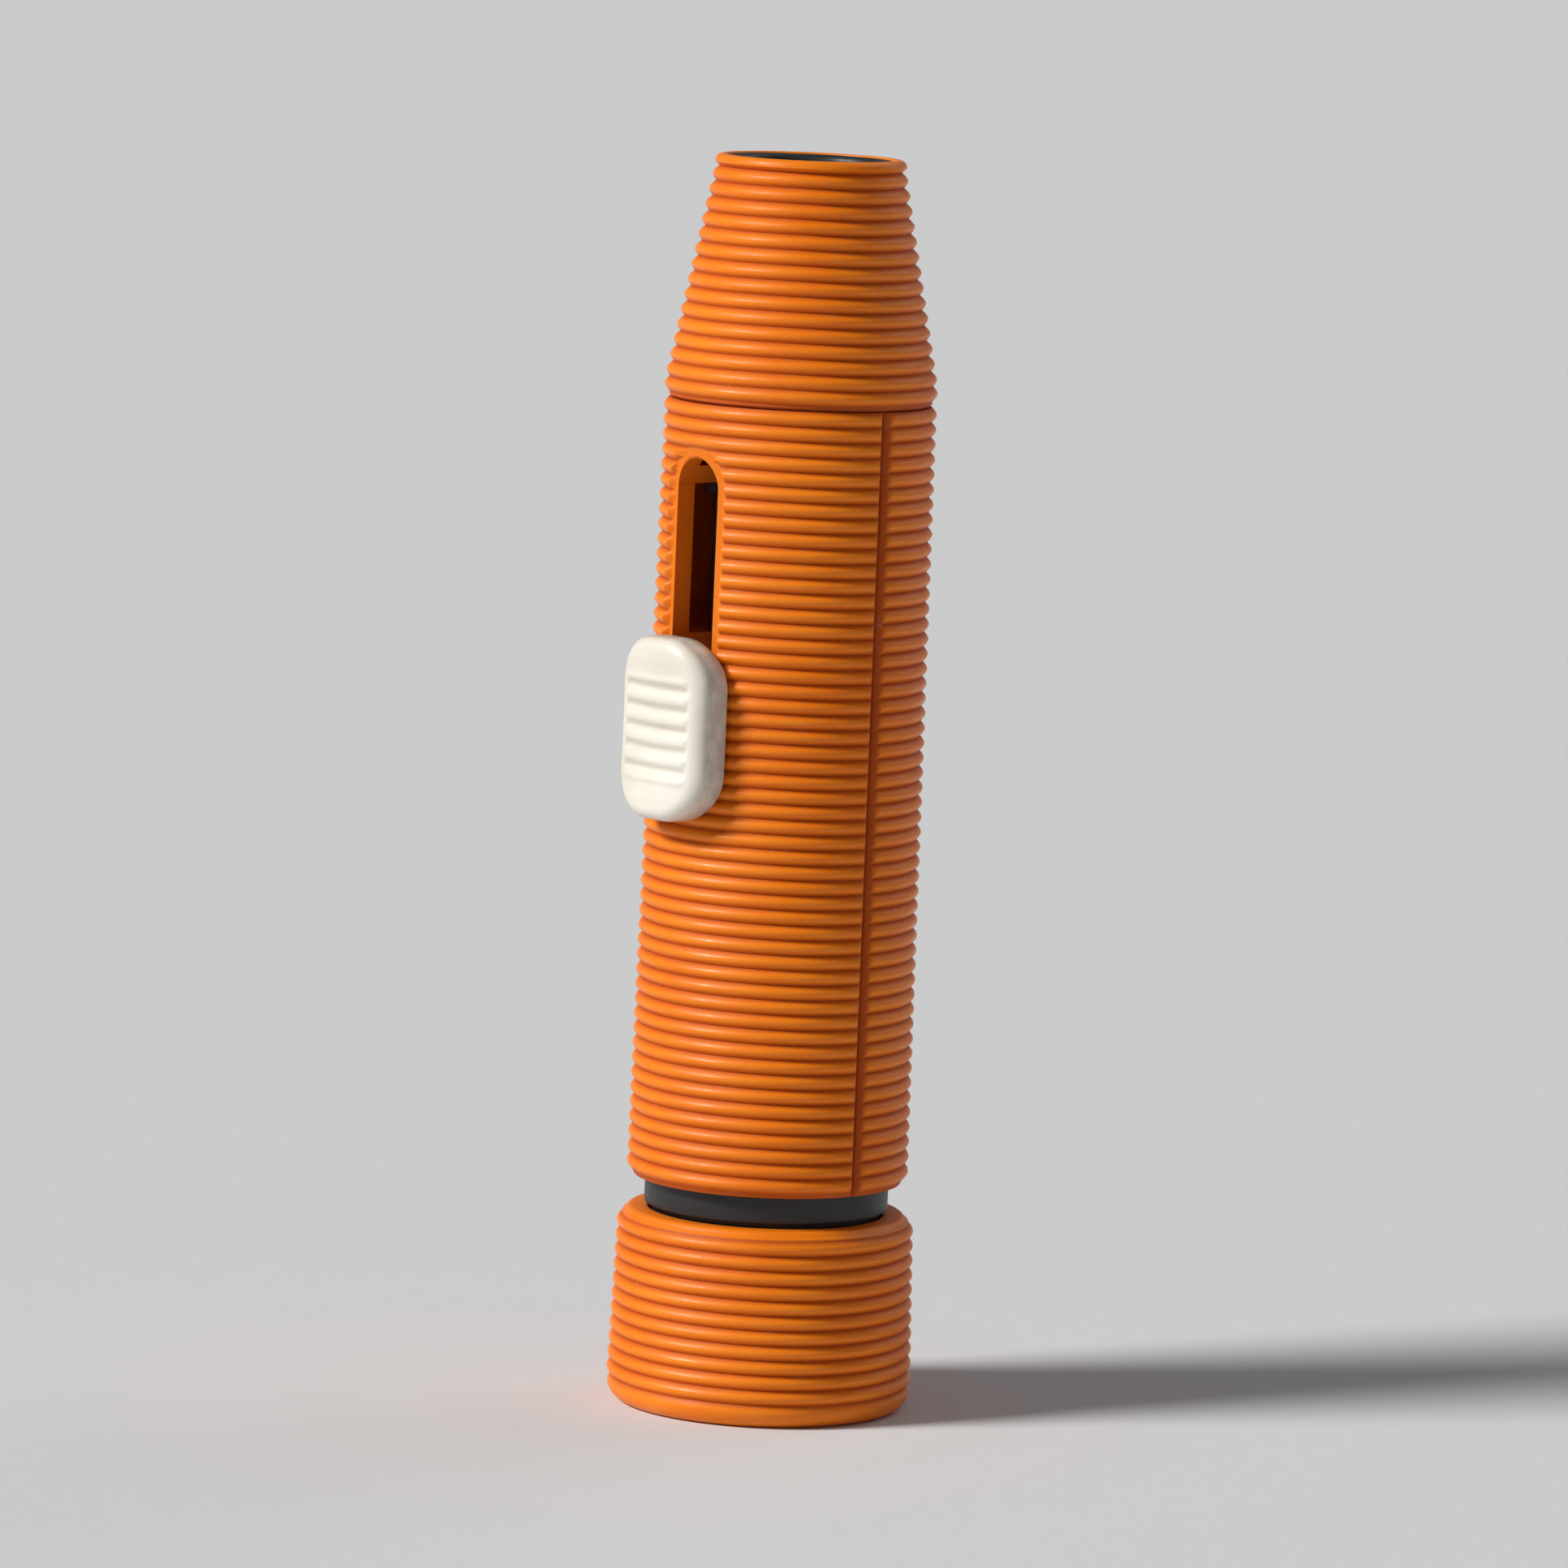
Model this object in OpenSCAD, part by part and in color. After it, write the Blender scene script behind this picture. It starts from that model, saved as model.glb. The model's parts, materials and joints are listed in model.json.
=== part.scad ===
// Pocket lens cleaning pen, closed, standing on the flat end of its cap.
// Z runs up the pen's axis. The thumb button faces -Y. The brush slides out
// of the top end, and the cap covers the cleaning tip at the bottom end.

/* [Pen] */
// Length of the closed pen
pen_length = 84; // [84:0.5:88]
// Diameter of the barrel at its upper end, over the ribs
barrel_d = 18.2; // [18:0.1:18.6]
// Diameter of the barrel at its lower end, over the ribs
barrel_low_d = 19; // [18.6:0.1:19.4]
// Length of the tapered shroud at the brush end
shroud_length = 16.3; // [15:0.1:16.5]
// Diameter of the flat end of the shroud
mouth_end_d = 12.8; // [12.6:0.1:13.6]

/* [Ribs] */
// Distance from one rib to the next
rib_pitch = 1; // [0.9:0.05:1.2]
// Depth of the grooves between the ribs
rib_depth = 0.3; // [0.15:0.05:0.35]

/* [Cap] */
// Diameter of the cap at its open end, over the ribs
cap_d = 20; // [19.8:0.1:20.4]
// Diameter of the cap just above its flat end
cap_low_d = 20.6; // [20:0.1:21]
// Length of the cap
cap_length = 13.2; // [13.2:0.1:14]
// Open seam between the cap and the barrel
cap_seam = 2.2; // [1.8:0.1:2.6]

/* [Thumb button] */
// Height of the button's middle with the brush drawn in
button_z = 46.2; // [44:0.1:46.4]
// Width of the button around the barrel
button_w = 8.4; // [7:0.1:9]
// Height of the button along the barrel
button_h = 12.2; // [10:0.1:13]
// How far the button stands out of the barrel
button_rise = 2.7; // [2.2:0.1:3]
// How far the button slides
brush_travel = 14; // [12:0.5:14]

/* [Brush] */
// Widest diameter of the bristles
tuft_d = 8; // [7:0.1:8.2]
// Length of the bristles outside the ferrule
tuft_length = 14; // [12:0.5:14]

/* [Cleaning tip] */
// Diameter of the carbon pad
pad_d = 12; // [11:0.1:12.6]

/* [Hidden] */

$fn = 96;
play = 0.05;            // clearance of a push fit, on the radius
run = 0.08;             // clearance of a sliding fit, on the radius
far = 40;               // longer than the pen is wide

// Barrel: two half shells
shell_z0 = cap_length + cap_seam;
shell_z1 = pen_length - shroud_length;
barrel_r = barrel_d / 2;
barrel_low_r = barrel_low_d / 2;
draft = atan((barrel_low_r - barrel_r) / (shell_z1 - shell_z0));
wall_r = 7.4;           // inside of the two shells
web_r = 5.55;           // hole in the webs that hold the track tube
web_h = 1.2;
flange_r = 7.95;        // flanges of the nose and the shroud, in the shells' grooves
groove_r = flange_r + play;
joint_depth = 0.65;     // groove along the line where the shells meet
joint_slope = 0.9;      // half its width over its depth

// Nose, which carries the cap and the cleaning tip
nose_z0 = cap_length - 4.2;
nose_r = 7.65;
nose_ring_r = 8.2;      // the ring that shows in the seam
nose_top = shell_z0 + 7.1;
nose_flange_z = shell_z0 + 2.1;
nose_flange_h = 1.5;
stem_r = 3;
stem_head_r = 4.4;
neck_plug_r = 1.4;
neck_plug_h = 3.8;

// Cleaning tip, stacked down from the nose
neck_z0 = nose_z0 - 2.4;
holder_z0 = neck_z0 - 1.3;
foam_z0 = holder_z0 - 0.8;
pad_z0 = foam_z0 - 0.6;
pad_r = pad_d / 2;
pad_dish = 0.25;        // how far the middle of the pad is hollow

// Cap
cap_r = cap_d / 2;
cap_low_r = cap_low_d / 2;
cap_floor = 1.2;
cap_bore_r = 8.6;
cap_lip_r = nose_r + 0.25;
cap_lip_h = 0.65;
ring_h = 1;
ring_z1 = cap_length - cap_lip_h - play;
ring_z0 = ring_z1 - ring_h;
liner_z0 = cap_floor + play;
liner_floor = 0.5;
liner_r = 6.75;
felt_r = liner_r - 0.2;
felt_z1 = pad_z0 - 0.1;
felt_z0 = felt_z1 - 1.1;

// Button's stem and the slot that it runs in
stem_w = 3.6;
stem_h = 6;
stem_y = -3.4;          // the stem's inner end, inside the carriage
slot_w = stem_w + 0.5;
slot_z0 = button_z - stem_h / 2 - 0.3;
slot_z1 = button_z + stem_h / 2 + brush_travel + 0.3;
slot_land = 0.75;       // smooth border round the slot
slot_over = 0.6;        // how far the shell's slot runs past the tube's
pad_under_r = barrel_low_r - (barrel_low_r - barrel_r) / 2 + 0.12;
pad_round = 3.2;

// Track tube and carriage
tube_r0 = 4.95;
tube_r1 = 5.5;
tube_flange_r = 6.2;
tube_flange_h = 0.6;
tube_z0 = slot_z0 - 4.3;
tube_z1 = slot_z1 + 0.5;
web_z = [tube_z0 - 0.1, tube_z0 + 12.4, tube_z1 - tube_flange_h - web_h];
carriage_r = tube_r0 - run;
carriage_z0 = slot_z0 - 1.9;
carriage_z1 = button_z + 11.3;
detent_z = carriage_z0 + 3;
detent_r = 0.85;
detent_slot_w = 2 * detent_r + 0.3;
leaf_w = 2.4;
leaf_h = 10;
leaf_t = 0.25;
leaf_y = carriage_r - 0.62;
leaf_z0 = detent_z - 1.5;
stake_r = 0.5;
stake_z = leaf_z0 + leaf_h - 1.5;

// Ferrule and bristles
ferrule_r = 3.2;
ferrule_t = 0.3;
ferrule_z1 = pen_length - 1.5 - tuft_length;
ferrule_z0 = button_z + 4;
socket_z0 = ferrule_z0 - 0.2;
root_r = ferrule_r - ferrule_t - 0.02;
root_h = 3.9;           // how far the bristles reach down into the ferrule
tuft_r = tuft_d / 2;

// Shroud and mouth
shroud_z0 = shell_z1 + 0.2;
spigot_r = wall_r - play;
spigot_bore_r = 6;
spigot_z0 = tube_z1 + 0.1;
shroud_flange_z = spigot_z0 + 0.8;
shroud_flange_h = 1;
mouth_r = 4.5;
bush_r = 5.5;
bush_h = 1.7;
end_r = mouth_end_d / 2;

// Locating pins between the shells
pin_x = 6.55;
boss_r = 0.95;
front_boss_l = 2.6;
back_boss_l = 2.8;
pin_r = 0.5;
pin_l = 2;              // how far the pins stand out of the front shell
pin_z = [shell_z0 + 12.6, shell_z1 - 11.4];

// Points of an arc about (cx, cz), from angle a0 to a1
function arc(cx, cz, r, a0, a1, n = 6) =
    [for (i = [0:n]) let (a = a0 + (a1 - a0) * i / n) [cx + r * cos(a), cz + r * sin(a)]];

// Outline of a row of ribs up a wall that goes from radius r0 to r1
rib_drop = [1, 0.32, 0, 0.32];
function ribs(z0, z1, r0, r1) =
    let (n = round((z1 - z0) / rib_pitch))
    [for (i = [0:n - 1]) for (k = [0:3])
        let (t = (i + k / 4) / n)
        [r0 + (r1 - r0) * t - rib_depth * rib_drop[k], z0 + (z1 - z0) * t]];

// Solid of revolution with a rectangular section
module ring(r0, r1, z0, z1) {
    translate([0, 0, z0])
        difference() {
            cylinder(r = r1, h = z1 - z0);
            translate([0, 0, -1]) cylinder(r = r0, h = z1 - z0 + 2);
        }
}

// Upright bar with round ends, w wide, from z0 to z1 and from y0 to y1
module upright_bar(w, z0, z1, y0, y1) {
    for (z = [z0 + w / 2, z1 - w / 2])
        translate([0, y0, z]) rotate([-90, 0, 0]) cylinder(d = w, h = y1 - y0);
    translate([-w / 2, y0, z0 + w / 2]) cube([w, y1 - y0, z1 - z0 - w]);
}

// ---- Barrel ----

// Section of a shell: ribs outside, grooves and webs inside
module shell_section() {
    rib_z0 = shell_z0 + 0.3;
    nose_groove = [nose_flange_z - play, nose_flange_z + nose_flange_h + play];
    shroud_groove = [shroud_flange_z - play, shroud_flange_z + shroud_flange_h + play];
    inside = concat(
        [[wall_r, shell_z1]],
        [[wall_r, shroud_groove[1]], [groove_r, shroud_groove[1]],
         [groove_r, shroud_groove[0]], [wall_r, shroud_groove[0]]],
        [for (i = [2, 1, 0]) each
            [[wall_r, web_z[i] + web_h], [web_r, web_z[i] + web_h],
             [web_r, web_z[i]], [wall_r, web_z[i]]]],
        [[wall_r, nose_groove[1]], [groove_r, nose_groove[1]],
         [groove_r, nose_groove[0]], [wall_r, nose_groove[0]]],
        [[wall_r, shell_z0]]
    );
    polygon(concat(
        [[barrel_low_r - rib_depth - 0.2, shell_z0]],
        ribs(rib_z0, shell_z1, barrel_low_r, barrel_r),
        [[barrel_r - rib_depth, shell_z1]],
        inside
    ));
}

module half_shell() {
    rotate_extrude(angle = 180) shell_section();
}

// Round bars at the four places of the pins, from y0 to y1
module at_pins(r, y0, y1) {
    for (x = [-pin_x, pin_x], z = pin_z)
        translate([x, y0, z]) rotate([-90, 0, 0]) cylinder(r = r, h = y1 - y0);
}

// V groove along both lines where the shells meet, leaning with the barrel's draft
module joint_groove() {
    reach = joint_depth + 2;
    for (side = [0, 180])
        rotate([0, 0, side])
        translate([barrel_low_r - joint_depth, 0, shell_z0])
        rotate([0, -draft, 0])
        translate([0, 0, -1])
            linear_extrude(height = shell_z1 - shell_z0 + 2)
            polygon([[0, 0], [reach, -reach * joint_slope], [reach, reach * joint_slope]]);
}

module front_shell() {
    color("darkorange")
    difference() {
        union() {
            rotate([0, 0, 180]) half_shell();
            at_pins(boss_r, -front_boss_l, 0);
            at_pins(pin_r, -1, pin_l);
        }
        // smooth border of the slot, where the ribs stop
        intersection() {
            ring(barrel_r - rib_depth - 0.05, far, slot_z0 - 3, slot_z1 + 3);
            upright_bar(slot_w + 2 * slot_land, slot_z0 - slot_over - slot_land,
                        slot_z1 + slot_over + slot_land, -far, 0);
        }
        upright_bar(slot_w, slot_z0 - slot_over, slot_z1 + slot_over, -far, -tube_r0);
        joint_groove();
    }
}

module back_shell() {
    color("darkorange")
    difference() {
        union() {
            half_shell();
            at_pins(boss_r, 0, back_boss_l);
        }
        at_pins(pin_r + play, -1, pin_l + 0.2);
        joint_groove();
    }
}

module track_tube() {
    color("dimgray")
    difference() {
        union() {
            ring(tube_r0, tube_r1, tube_z0, tube_z1);
            ring(tube_r1 - 0.1, tube_flange_r, web_z[0] + web_h + play,
                 web_z[0] + web_h + play + tube_flange_h);
            ring(tube_r1 - 0.1, tube_flange_r, web_z[2] - play - tube_flange_h,
                 web_z[2] - play);
        }
        // way for the button's stem, open at the top
        translate([-slot_w / 2, -far, slot_z0]) cube([slot_w, far, far]);
        // way for the detent, wider at its two stops
        upright_bar(detent_slot_w, detent_z - detent_slot_w / 2,
                    detent_z + brush_travel + detent_slot_w / 2, 2, far / 2);
        for (z = [detent_z, detent_z + brush_travel])
            translate([0, 2, z]) rotate([-90, 0, 0]) cylinder(d = detent_slot_w + 0.7, h = 6);
    }
}

module nose() {
    pocket_r0 = stem_head_r + 0.1;
    pocket_r1 = spigot_r - 1.4;
    pocket_z0 = nose_z0 + 1.8;
    color("black")
    rotate_extrude()
    polygon([
        [stem_r + 0.02, nose_z0], [nose_r - 0.5, nose_z0], [nose_r, nose_z0 + 0.5],
        [nose_r, cap_length + 0.3], [nose_ring_r, cap_length + 0.3],
        [nose_ring_r, shell_z0 - play], [spigot_r, shell_z0 - play],
        [spigot_r, nose_flange_z], [flange_r, nose_flange_z],
        [flange_r, nose_flange_z + nose_flange_h], [spigot_r, nose_flange_z + nose_flange_h],
        [spigot_r, nose_top], [pocket_r1, nose_top], [pocket_r1, pocket_z0],
        [pocket_r0, pocket_z0], [pocket_r0, nose_top - 1], [stem_r + 0.02, nose_top - 1]
    ]);
}

module tip_stem() {
    color("black")
    difference() {
        union() {
            translate([0, 0, nose_z0]) cylinder(r = stem_r, h = nose_top - nose_z0);
            translate([0, 0, nose_top - 0.98]) cylinder(r = stem_head_r, h = 1.2);
        }
        translate([0, 0, nose_z0 - 1]) cylinder(r = neck_plug_r + 0.02, h = neck_plug_h + 1.2);
    }
}

module tip_neck() {
    waist_r = 2.3;
    flare_r = 3.5;
    neck_h = nose_z0 - play - neck_z0;
    color("black")
    rotate_extrude()
    polygon(concat(
        [[0, neck_z0]],
        [for (i = [0:10]) let (t = i / 10)
            [flare_r - (flare_r - waist_r) * sin(180 * t), neck_z0 + neck_h * t]],
        [[neck_plug_r, neck_z0 + neck_h], [neck_plug_r, nose_z0 + neck_plug_h],
         [0, nose_z0 + neck_plug_h]]
    ));
}

module tip_holder() {
    rim_h = 0.6;
    hub_r = 3.6;
    color("black")
    rotate_extrude()
    polygon([
        [0, holder_z0], [pad_r - 0.2, holder_z0], [pad_r, holder_z0 + 0.2],
        [pad_r, holder_z0 + rim_h], [pad_r - 0.3, holder_z0 + rim_h + 0.15],
        [hub_r + 0.2, neck_z0 - 0.3], [hub_r, neck_z0 - play], [0, neck_z0 - play]
    ]);
}

module tip_foam() {
    color("slategray")
    translate([0, 0, foam_z0]) cylinder(r = pad_r - 0.15, h = holder_z0 - foam_z0);
}

module tip_pad() {
    color("black")
    rotate_extrude()
    polygon(concat(
        [[0, foam_z0], [0, pad_z0 + pad_dish]],
        [for (i = [1:8]) let (r = (pad_r - 0.4) * i / 8)
            [r, pad_z0 + pad_dish * (1 - pow(i / 8, 2))]],
        arc(pad_r - 0.3, pad_z0 + 0.3, 0.3, -60, 0, 4),
        [[pad_r, foam_z0]]
    ));
}

module brush_shroud() {
    taper_z0 = shroud_z0 + 1.2;
    taper_z1 = pen_length - 0.8;
    throat_r = mouth_r + 0.4;
    color("darkorange")
    rotate_extrude()
    polygon(concat(
        [[spigot_r, shroud_z0], [barrel_r - rib_depth, shroud_z0]],
        ribs(shroud_z0 + 0.2, taper_z0, barrel_r, barrel_r),
        ribs(taper_z0, taper_z1, barrel_r, end_r),
        arc(end_r - 0.5, pen_length - 0.5, 0.5, 0, 90, 4),
        [[bush_r + play, pen_length], [bush_r + play, pen_length - bush_h - play],
         [throat_r, pen_length - bush_h - play], [throat_r, pen_length - 6],
         [spigot_bore_r, shell_z1 + 3], [spigot_bore_r, spigot_z0]],
        [[spigot_r, spigot_z0], [spigot_r, shroud_flange_z], [flange_r, shroud_flange_z],
         [flange_r, shroud_flange_z + shroud_flange_h],
         [spigot_r, shroud_flange_z + shroud_flange_h]]
    ));
}

module mouth_bush() {
    color("black")
    rotate_extrude()
    polygon(concat(
        [[mouth_r, pen_length - bush_h], [bush_r, pen_length - bush_h],
         [bush_r, pen_length - 0.15]],
        arc(mouth_r + 0.5, pen_length - 0.6, 0.5, 90, 180, 4)
    ));
}

// ---- Brush ----

// Block w wide and h high with round corners, standing out along -Y from y0 to y1
module round_block(w, h, r, y0, y1) {
    for (x = [r - w / 2, w / 2 - r], z = [r - h / 2, h / 2 - r])
        translate([x, y0, z]) rotate([-90, 0, 0]) cylinder(r = r, h = y1 - y0);
    translate([-w / 2, y0, r - h / 2]) cube([w, y1 - y0, h - 2 * r]);
    translate([r - w / 2, y0, -h / 2]) cube([w - 2 * r, y1 - y0, h]);
}

module thumb_button() {
    grip_n = 5;
    grip_pitch = 1.5;
    grip_r = 0.42;
    face_r = barrel_r + button_rise;
    color("ivory")
    difference() {
        union() {
            intersection() {
                translate([0, 0, button_z])
                    round_block(button_w, button_h, pad_round, -far, -barrel_r / 2);
                ring(pad_under_r, face_r, button_z - button_h, button_z + button_h);
            }
            upright_bar(stem_w, button_z - stem_h / 2, button_z + stem_h / 2,
                        -pad_under_r - 0.5, stem_y);
        }
        // grip grooves across the pad
        for (i = [0:grip_n - 1])
            translate([-button_w, -face_r, button_z + (i - (grip_n - 1) / 2) * grip_pitch])
                rotate([0, 90, 0]) cylinder(r = grip_r, h = 2 * button_w);
    }
}

module brush_carriage() {
    color("dimgray")
    difference() {
        translate([0, 0, carriage_z0]) cylinder(r = carriage_r, h = carriage_z1 - carriage_z0);
        translate([0, 0, socket_z0])
            cylinder(r = ferrule_r + 0.02, h = carriage_z1 - socket_z0 + 1);
        // socket of the button's stem
        upright_bar(stem_w + 0.04, button_z - stem_h / 2 - 0.02,
                    button_z + stem_h / 2 + 0.02, -far, stem_y + 0.02);
        // seat of the leaf spring, with its stake left standing
        difference() {
            translate([-leaf_w / 2 - 0.1, leaf_y - 0.02, leaf_z0 - 0.1])
                cube([leaf_w + 0.2, far, leaf_h + 0.2]);
            translate([0, leaf_y - 1, stake_z]) rotate([-90, 0, 0])
                cylinder(r = stake_r, h = 1 + leaf_t + 0.15);
        }
    }
}

module detent_spring() {
    color("silver")
    difference() {
        union() {
            translate([-leaf_w / 2, leaf_y, leaf_z0]) cube([leaf_w, leaf_t, leaf_h]);
            translate([0, leaf_y + leaf_t / 2, detent_z]) rotate([-90, 0, 0])
                cylinder(r = detent_r, h = tube_r1 - 0.15 - leaf_y);
        }
        translate([0, leaf_y - 1, stake_z]) rotate([-90, 0, 0])
            cylinder(r = stake_r + 0.03, h = 3);
    }
}

module brush_ferrule() {
    crimp = 0.14;
    crimps = [ferrule_z1 - 3.6, ferrule_z1 - 2.2];
    color("silver")
    rotate_extrude()
    polygon(concat(
        [[ferrule_r, ferrule_z0]],
        [for (z = crimps) each
            [[ferrule_r, z - 0.3], [ferrule_r - crimp, z - 0.12],
             [ferrule_r - crimp, z + 0.12], [ferrule_r, z + 0.3]]],
        [[ferrule_r, ferrule_z1 - 0.1], [ferrule_r - 0.1, ferrule_z1],
         [ferrule_r - ferrule_t, ferrule_z1], [ferrule_r - ferrule_t, ferrule_z0]]
    ));
}

module ferrule_plug() {
    color("goldenrod")
    translate([0, 0, ferrule_z0 + 2])
        cylinder(r = root_r, h = ferrule_z1 - root_h - 0.1 - (ferrule_z0 + 2));
}

module brush_tuft() {
    belly = 0.62;       // how far up the tuft is widest
    color("black")
    rotate_extrude()
    polygon(concat(
        [[0, ferrule_z1 - root_h], [root_r, ferrule_z1 - root_h]],
        [for (i = [0:8]) let (t = i / 8)
            [root_r + (tuft_r - root_r) * sin(90 * t), ferrule_z1 + tuft_length * belly * t]],
        [for (i = [1:7]) let (t = i / 8)
            [tuft_r * sqrt(1 - t * t), ferrule_z1 + tuft_length * (belly + (1 - belly) * t)]],
        [[0, ferrule_z1 + tuft_length]]
    ));
}

// ---- Cap ----

module cap_ring() {
    color("dimgray")
    rotate_extrude()
    polygon([
        [nose_r + play, ring_z0 + 0.25], [nose_r + play + 0.25, ring_z0],
        [cap_bore_r - play, ring_z0], [cap_bore_r - play, ring_z1],
        [nose_r + play + 0.25, ring_z1], [nose_r + play, ring_z1 - 0.25]
    ]);
}

module cap_shell() {
    foot_r = 1.2;
    color("darkorange")
    rotate_extrude()
    polygon(concat(
        [[0, 0]],
        arc(cap_low_r - foot_r - 0.1, foot_r, foot_r, -90, 0, 6),
        ribs(foot_r + 0.4, cap_length - 0.6, cap_low_r, cap_r),
        [[cap_r - rib_depth, cap_length - 0.6], [cap_r - rib_depth - 0.4, cap_length],
         [cap_lip_r, cap_length], [cap_lip_r, cap_length - cap_lip_h],
         [cap_bore_r, cap_length - cap_lip_h], [cap_bore_r, cap_floor], [0, cap_floor]]
    ));
}

module cap_liner() {
    color("dimgray")
    rotate_extrude()
    polygon([
        [0, liner_z0], [cap_bore_r - play, liner_z0],
        [cap_bore_r - play, ring_z0 - play], [nose_r + 0.1, ring_z0 - play],
        [nose_r + 0.1, nose_z0 - 0.8], [liner_r, nose_z0 - 1.6],
        [liner_r, liner_z0 + liner_floor], [0, liner_z0 + liner_floor]
    ]);
}

module felt_foam() {
    color("slategray")
    translate([0, 0, liner_z0 + liner_floor])
        cylinder(r = felt_r, h = felt_z0 - (liner_z0 + liner_floor));
}

module felt_pad() {
    color("black")
    translate([0, 0, felt_z0]) cylinder(r = felt_r, h = felt_z1 - felt_z0);
}

front_shell();
back_shell();
track_tube();
nose();
tip_stem();
tip_neck();
tip_holder();
tip_foam();
tip_pad();
brush_shroud();
mouth_bush();
thumb_button();
brush_carriage();
detent_spring();
brush_ferrule();
ferrule_plug();
brush_tuft();
cap_ring();
cap_shell();
cap_liner();
felt_foam();
felt_pad();
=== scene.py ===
"""Looks of the lens cleaning pen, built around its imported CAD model."""

import json
import math
import random

import bpy
import numpy as np
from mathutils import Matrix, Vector, noise as solid_noise


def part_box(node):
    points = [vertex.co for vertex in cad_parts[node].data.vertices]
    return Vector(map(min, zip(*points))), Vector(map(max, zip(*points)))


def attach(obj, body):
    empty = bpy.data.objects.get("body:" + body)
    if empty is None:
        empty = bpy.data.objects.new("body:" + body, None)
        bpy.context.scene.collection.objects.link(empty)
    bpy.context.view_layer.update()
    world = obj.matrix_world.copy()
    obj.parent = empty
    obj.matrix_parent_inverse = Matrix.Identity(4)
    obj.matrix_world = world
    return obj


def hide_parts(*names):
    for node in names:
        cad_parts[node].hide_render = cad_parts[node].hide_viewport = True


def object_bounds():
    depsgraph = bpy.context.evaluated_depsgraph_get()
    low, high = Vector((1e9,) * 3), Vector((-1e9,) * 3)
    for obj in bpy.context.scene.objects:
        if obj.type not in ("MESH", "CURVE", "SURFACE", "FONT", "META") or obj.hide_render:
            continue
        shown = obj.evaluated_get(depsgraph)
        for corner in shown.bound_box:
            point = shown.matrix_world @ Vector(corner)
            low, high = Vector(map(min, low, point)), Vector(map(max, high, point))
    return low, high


MM = 0.001

# ---- The picture. Angles are in degrees ----

FACING = 50             # azimuth of the camera: 0 is on -Y and 90 on +X
LIFT = 7                # its elevation
ROLL = 2.5
FILLS = 0.80            # share of the picture's height that the pen fills
LENS = 200
SENSOR = 36

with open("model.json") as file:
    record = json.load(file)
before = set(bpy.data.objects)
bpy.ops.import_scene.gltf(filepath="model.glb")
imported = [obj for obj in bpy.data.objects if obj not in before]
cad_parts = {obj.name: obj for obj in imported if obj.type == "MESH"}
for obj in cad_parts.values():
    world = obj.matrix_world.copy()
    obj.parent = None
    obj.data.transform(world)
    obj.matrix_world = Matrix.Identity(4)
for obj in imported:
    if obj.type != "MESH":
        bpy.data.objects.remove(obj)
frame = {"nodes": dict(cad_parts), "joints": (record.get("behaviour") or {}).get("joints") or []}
cad_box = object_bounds()


def span(node):
    """Lowest and highest corner of a CAD node, in millimetres."""
    low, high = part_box(node)
    return low / MM, high / MM


# ---- Sizes in millimetres, taken from the frame where the frame has them ----

SHELL_LOW, SHELL_HIGH = span("front_shell")
SHROUD_LOW, SHROUD_HIGH = span("brush_shroud")
CAP_HIGH = span("cap_shell")[1]
BUTTON_LOW, BUTTON_HIGH = span("thumb_button")
NOSE_LOW, NOSE_HIGH = span("nose")
FERRULE_LOW, FERRULE_HIGH = span("brush_ferrule")
TUFT_HIGH = span("brush_tuft")[1]
TUBE_LOW, TUBE_HIGH = span("track_tube")

RIB_PITCH = 1.0
RIB_DEPTH = 0.34
RIB_ROUND = 1.15        # under 1 is a flatter crest, over 1 a sharper one
ROWS_PER_RIB = 8

SHELL_Z0 = SHELL_LOW.z
SHELL_Z1 = SHELL_HIGH.z
SHELL_LOW_R = SHELL_HIGH.x
SHELL_TOP_R = SHROUD_HIGH.x
SHELL_BORE_R = 7.4
RIBS_Z0 = SHELL_Z0 + 0.3
SPIGOT_R = 7.35         # of the nose and the shroud, inside the shells
FLANGE_R = 7.95         # of their flanges, in grooves of the shells
FLANGE_PLAY = 0.05
NOSE_FLANGE = (SHELL_LOW.z + 2.1, SHELL_LOW.z + 3.6)
SHROUD_FLANGE = (SHROUD_LOW.z + 0.8, SHROUD_LOW.z + 1.8)
WEB_R = 5.55            # hole in the webs that hold the track tube
WEB_H = 1.2
WEBS = [(z, z + WEB_H) for z in (TUBE_LOW.z - 0.1, TUBE_LOW.z + 12.4, TUBE_HIGH.z - 1.8)]
JOINT_DEPTH = 0.65      # groove where the shells meet
JOINT_HALF = 0.6        # half its width

BUTTON_Z = (BUTTON_LOW.z + BUTTON_HIGH.z) / 2
BUTTON_H = BUTTON_HIGH.z - BUTTON_LOW.z
BUTTON_W = BUTTON_HIGH.x - BUTTON_LOW.x
BUTTON_FACE_R = -BUTTON_LOW.y
BUTTON_ROUND = 3.3      # radius of its corners
STEM_W = 3.6
STEM_H = 6.0
TRAVEL = next(j for j in frame["joints"] if j["name"] == "brush_slide")["range_m"][1] / MM

SLOT_W = STEM_W + 0.5
SLOT_SPARE = 0.9        # how far the slot goes on past the stem's travel
SLOT_Z0 = BUTTON_Z - STEM_H / 2 - SLOT_SPARE
SLOT_Z1 = BUTTON_Z + STEM_H / 2 + TRAVEL + SLOT_SPARE
SLOT_LAND = 0.75        # width of the smooth border round the slot
LAND_R = SHELL_TOP_R - 0.35
SLOT_EDGE = 0.12        # how much the slot's edge is rounded

MOUTH_R = 4.5
BUSH_R = 5.5
END_R = 6.4             # of the shroud's top
PEN_TOP = SHROUD_HIGH.z

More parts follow.
